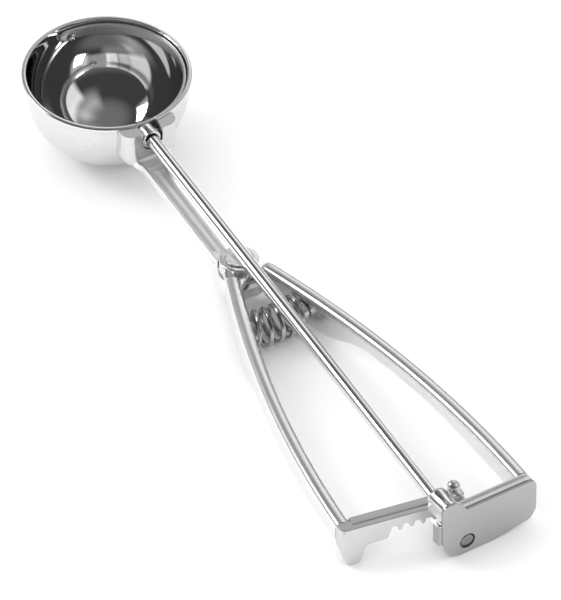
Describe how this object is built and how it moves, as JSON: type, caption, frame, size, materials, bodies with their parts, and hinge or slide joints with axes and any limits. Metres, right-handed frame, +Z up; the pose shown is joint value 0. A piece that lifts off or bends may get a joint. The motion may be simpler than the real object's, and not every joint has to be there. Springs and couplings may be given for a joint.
{
  "type": "ice cream scoop",
  "caption": "Squeeze-handle ice cream scoop with a round bowl, a sweeping scraper on a long rod, a rack and pinion, and a coil-sprung pair of handles.",
  "frame": {"origin": "bottom centre of the object's box, lying on a table", "axes": "+X from the handles towards the bowl, +Y to the side of the moving handle, +Z up"},
  "size_m": [0.2298, 0.0568, 0.0313],
  "materials": {
    "satin_steel": "satin",
    "polished_steel": "polished",
    "brushed_plate": "brushed",
    "spring_steel": "dark polished"
  },
  "bodies": {
    "frame": {"bowl": "satin_steel", "neck_collar": "satin_steel", "rod_bush": "polished_steel", "shank": "satin_steel", "fixed_handle": "satin_steel", "end_bar": "satin_steel", "rear_bush": "polished_steel", "cover_plate": "brushed_plate", "rack_guide": "polished_steel", "pivot_rivet": "satin_steel", "pivot_washer": "polished_steel", "front_pivot_rivet": "polished_steel", "fixed_spring_pin": "satin_steel", "return_spring": "spring_steel"},
    "moving_handle_body": {"moving_handle": "satin_steel", "rack_bar": "satin_steel", "rack_stop": "polished_steel", "moving_spring_pin": "satin_steel"},
    "rod": {"drive_rod": "polished_steel", "pinion": "polished_steel", "scraper_blade": "polished_steel", "scraper_hub": "polished_steel"}
  },
  "joints": [
    {"name": "handle_squeeze", "type": "hinge", "parent": "frame", "child": "moving_handle_body", "pos_m": [0.00991, -0.0031, 0.011], "axis": [0, 0, 1], "range_deg": [0, 5.65], "stiffness_Nm_per_rad": 4, "springref_deg": -5.73, "deforming": ["return_spring"]},
    {"name": "rod_spin", "type": "hinge", "parent": "frame", "child": "rod", "pos_m": [0.08941, -0.0031, 0.0246], "axis": [0.995, 0, 0.1002], "range_deg": [0, 180]}
  ],
  "couplings": [
    {"joint": "rod_spin", "follows": "handle_squeeze", "ratio": 31.844}
  ]
}
